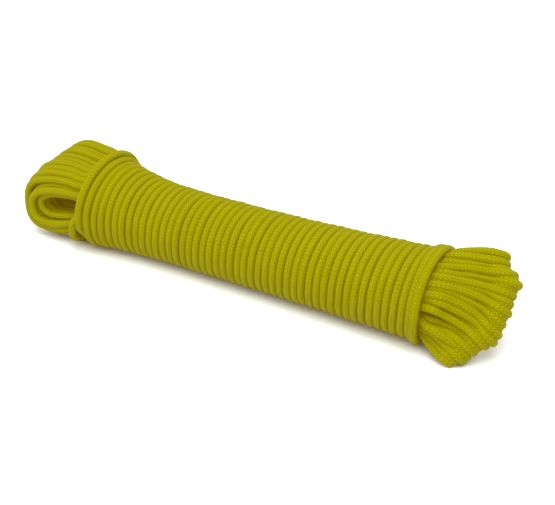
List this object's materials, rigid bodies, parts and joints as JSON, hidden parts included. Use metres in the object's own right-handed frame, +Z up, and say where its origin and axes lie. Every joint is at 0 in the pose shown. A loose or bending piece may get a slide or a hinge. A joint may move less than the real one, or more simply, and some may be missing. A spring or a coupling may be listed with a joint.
{
  "type": "hank of braided utility cord",
  "caption": "Machine-wound hank of thin braided cord: folded runs held by a tight wrap, with a hanging eye at one end and a fan of folds at the other.",
  "frame": {"origin": "bottom centre of the whole hank's bounding box, on the ground it lies on", "axes": "+X runs along the hank from the eye end to the fan end, +Z is up, +Y completes the right-handed frame"},
  "size_m": [0.2648, 0.052, 0.0496],
  "materials": {
    "braided_sheath": "fluorescent yellow diamond-braided synthetic yarn, satin",
    "core_yarn": "white twisted yarn",
    "sealed_tip": "sheath melted to a hard, slightly browned plug"
  },
  "bodies": {
    "root": {"bundle_runs": "braided_sheath", "wrap_turns": "braided_sheath", "flared_turns": "braided_sheath", "collar_turn": "braided_sheath", "eye_inner_bights": "braided_sheath", "eye_middle_bights": "braided_sheath", "eye_outer_bights": "braided_sheath", "fan_upper_bights": "braided_sheath", "fan_middle_bights": "braided_sheath", "fan_lower_bights": "braided_sheath", "dropped_bights": "braided_sheath", "running_end_sheath": "braided_sheath", "running_end_core": "core_yarn", "running_end_tip": "sealed_tip", "standing_end_sheath": "braided_sheath", "standing_end_core": "core_yarn", "standing_end_tip": "sealed_tip"}
  },
  "joints": []
}
